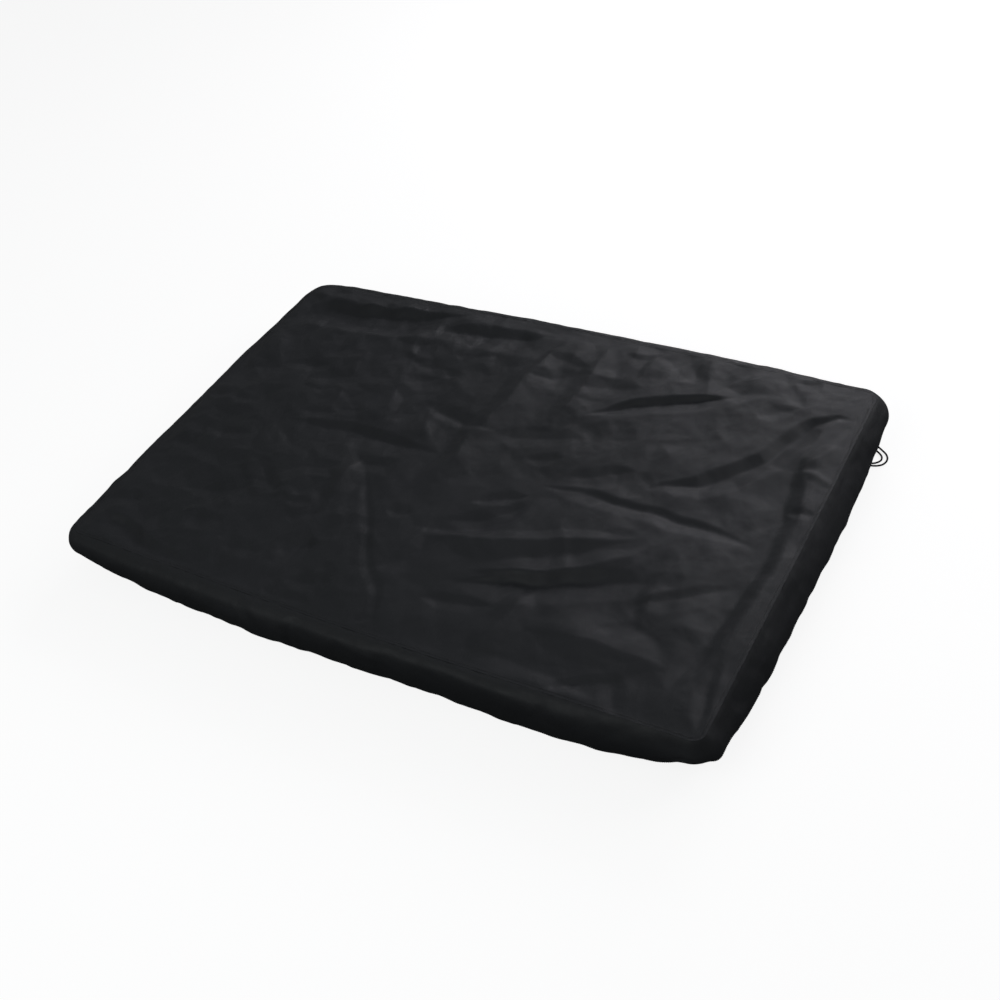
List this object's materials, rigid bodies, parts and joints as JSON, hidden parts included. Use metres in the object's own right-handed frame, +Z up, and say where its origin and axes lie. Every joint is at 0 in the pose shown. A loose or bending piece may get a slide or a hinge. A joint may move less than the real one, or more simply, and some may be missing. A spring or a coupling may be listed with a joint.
{
  "type": "fitted outdoor sofa cover",
  "caption": "Low fitted rain cover of black woven cloth for a small outdoor sofa, with a creased top, gathered hem and drawcord loops.",
  "frame": {"origin": "under the middle of the top panel, on the plane that the top cloth rests on", "axes": "+X along the length towards the side with the drawcord loops, +Y towards the back, +Z up"},
  "size_m": [1.5771, 1.0413, 0.1312],
  "materials": {
    "top_cloth": "black coated woven polyester, soft sheen",
    "side_cloth": "black coated woven polyester, soft sheen",
    "cord": "black braided cord, dull"
  },
  "bodies": {
    "root": {"top_panel": "top_cloth", "skirt_front": "side_cloth", "skirt_right": "side_cloth", "skirt_back": "side_cloth", "skirt_left": "side_cloth", "drawcord_outer": "cord", "drawcord_inner": "cord"}
  },
  "joints": []
}
